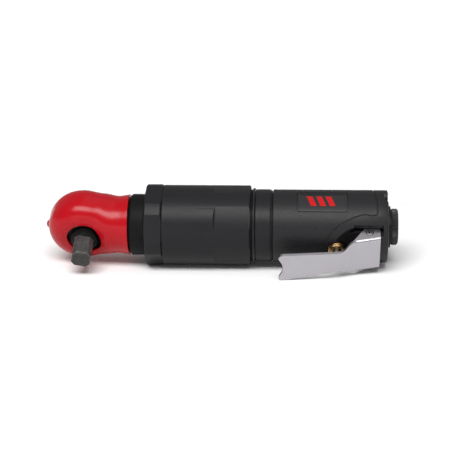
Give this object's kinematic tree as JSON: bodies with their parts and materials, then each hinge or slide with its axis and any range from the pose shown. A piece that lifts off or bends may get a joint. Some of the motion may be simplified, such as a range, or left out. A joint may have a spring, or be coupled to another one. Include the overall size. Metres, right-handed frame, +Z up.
{
  "type": "air impact ratchet",
  "caption": "Short air ratchet with a hammer stage: red head boot, 3/8 inch square drive, clamp nut, hammer case, grip with a sprung throttle lever and rear air inlet, working inside.",
  "frame": {"origin": "centre of the underside of the box round the tool, on the bench the tool lies on", "axes": "+X along the barrel from the square drive to the air inlet, +Z up; the tool lies on its clamp nut and the lower front corner of its lever, so the square drive points towards -Y and about 24 degrees down"},
  "size_m": [0.1756, 0.0512, 0.0402],
  "materials": {
    "red_boot": "glossy moulded red",
    "black_steel": "satin black coated steel",
    "black_oxide": "black oxide steel, worn bright on the edges",
    "black_grip": "fine grained matte black",
    "nickel_steel": "satin nickel plated sheet steel",
    "brass": "turned brass",
    "plain_steel": "ground steel",
    "bearing_steel": "polished hardened steel",
    "end_plate_alloy": "machined cast iron",
    "seal_rubber": "black seal rubber",
    "vane_composite": "brown resin composite",
    "muffler_felt": "pressed felt",
    "badge_black": "black badge with a plain red mark"
  },
  "bodies": {
    "housing": {"head_boot": "red_boot", "ratchet_head": "black_steel", "thrust_washer_lower": "bearing_steel", "thrust_washer_upper": "bearing_steel", "retaining_plate": "plain_steel", "retaining_ring": "plain_steel", "crank_bearing": "bearing_steel", "clamp_nut": "black_steel", "hammer_case": "black_steel", "coupling_ring": "black_steel", "case_o_ring": "seal_rubber", "front_end_plate": "end_plate_alloy", "front_bearing": "bearing_steel", "motor_cylinder": "plain_steel", "rear_end_plate": "end_plate_alloy", "rear_bearing": "bearing_steel", "alignment_pin": "bearing_steel", "motor_housing": "black_grip", "badge_plate": "badge_black", "lever_pin": "black_oxide", "valve_bushing": "brass", "inlet_bushing": "black_oxide", "inlet_screen": "brass", "exhaust_deflector": "black_steel", "muffler": "muffler_felt"},
    "drive": {"square_drive": "black_oxide", "pawl_pin": "bearing_steel", "detent_spring": "plain_steel"},
    "detent": {"detent_ball": "bearing_steel"},
    "pawl": {"pawl": "plain_steel"},
    "knob": {"reverse_knob": "black_oxide", "reverse_plunger": "bearing_steel", "reverse_spring": "plain_steel"},
    "yoke": {"yoke": "plain_steel"},
    "crank": {"crankshaft": "plain_steel", "drive_bushing": "bearing_steel"},
    "cage": {"hammer_cage": "plain_steel", "hammer_pin_1": "bearing_steel", "hammer_pin_2": "bearing_steel"},
    "front_hammer": {"hammer_1": "plain_steel"},
    "rear_hammer": {"hammer_2": "plain_steel"},
    "rotor": {"rotor": "plain_steel", "vane_1": "vane_composite", "vane_2": "vane_composite", "vane_3": "vane_composite", "vane_4": "vane_composite", "vane_5": "vane_composite"},
    "lever": {"throttle_lever": "nickel_steel"},
    "valve": {"valve_stem": "plain_steel", "valve_seal": "seal_rubber", "valve_spring": "plain_steel"}
  },
  "joints": [
    {"name": "drive_spin", "type": "hinge", "parent": "housing", "child": "drive", "pos_m": [-0.06765, -0.01248, 0.01182], "axis": [0, -0.9104, -0.4137], "continuous": true},
    {"name": "detent_press", "type": "slide", "parent": "drive", "child": "detent", "axis": [0.2079, -0.4047, 0.8905], "range_m": [0, 0.0005], "stiffness_N_per_m": 2000},
    {"name": "knob_turn", "type": "hinge", "parent": "drive", "child": "knob", "pos_m": [-0.06765, 0.01756, 0.02547], "axis": [0, 0.9104, 0.4137], "range_deg": [-22, 22]},
    {"name": "pawl_rock", "type": "hinge", "parent": "drive", "child": "pawl", "pos_m": [-0.07295, 0.00572, 0.02009], "axis": [0, 0.9104, 0.4137], "range_deg": [-6, 6]},
    {"name": "yoke_rock", "type": "hinge", "parent": "housing", "child": "yoke", "pos_m": [-0.06765, 0.00572, 0.02009], "axis": [0, 0.9104, 0.4137], "range_deg": [-4, 4]},
    {"name": "rotor_spin", "type": "hinge", "parent": "housing", "child": "rotor", "pos_m": [0.04015, 0.00572, 0.02009], "axis": [1, 0, 0], "continuous": true},
    {"name": "cage_spin", "type": "hinge", "parent": "housing", "child": "cage", "pos_m": [-0.00365, 0.00572, 0.02009], "axis": [1, 0, 0], "continuous": true},
    {"name": "crank_spin", "type": "hinge", "parent": "housing", "child": "crank", "pos_m": [-0.02265, 0.00572, 0.02009], "axis": [1, 0, 0], "continuous": true},
    {"name": "front_hammer_swing", "type": "hinge", "parent": "cage", "child": "front_hammer", "pos_m": [-0.00725, 0.01683, 0.02514], "axis": [1, 0, 0], "range_deg": [-4, 4]},
    {"name": "rear_hammer_swing", "type": "hinge", "parent": "cage", "child": "rear_hammer", "pos_m": [0.00005, -0.00538, 0.01505], "axis": [1, 0, 0], "range_deg": [-4, 4]},
    {"name": "lever_squeeze", "type": "hinge", "parent": "housing", "child": "lever", "pos_m": [0.07345, -0.00839, 0.01368], "axis": [0, 0.4137, -0.9104], "range_deg": [0, 12], "stiffness_Nm_per_rad": 0.3, "springref_deg": -11.46},
    {"name": "valve_lift", "type": "slide", "parent": "housing", "child": "valve", "axis": [0, 0.9104, 0.4137], "range_m": [0, 0.0034]}
  ],
  "couplings": [
    {"joint": "pawl_rock", "follows": "knob_turn", "ratio": -0.25},
    {"joint": "cage_spin", "follows": "rotor_spin", "ratio": 1},
    {"joint": "crank_spin", "follows": "rotor_spin", "ratio": 1},
    {"joint": "valve_lift", "follows": "lever_squeeze", "m_per_rad": 0.0162}
  ]
}
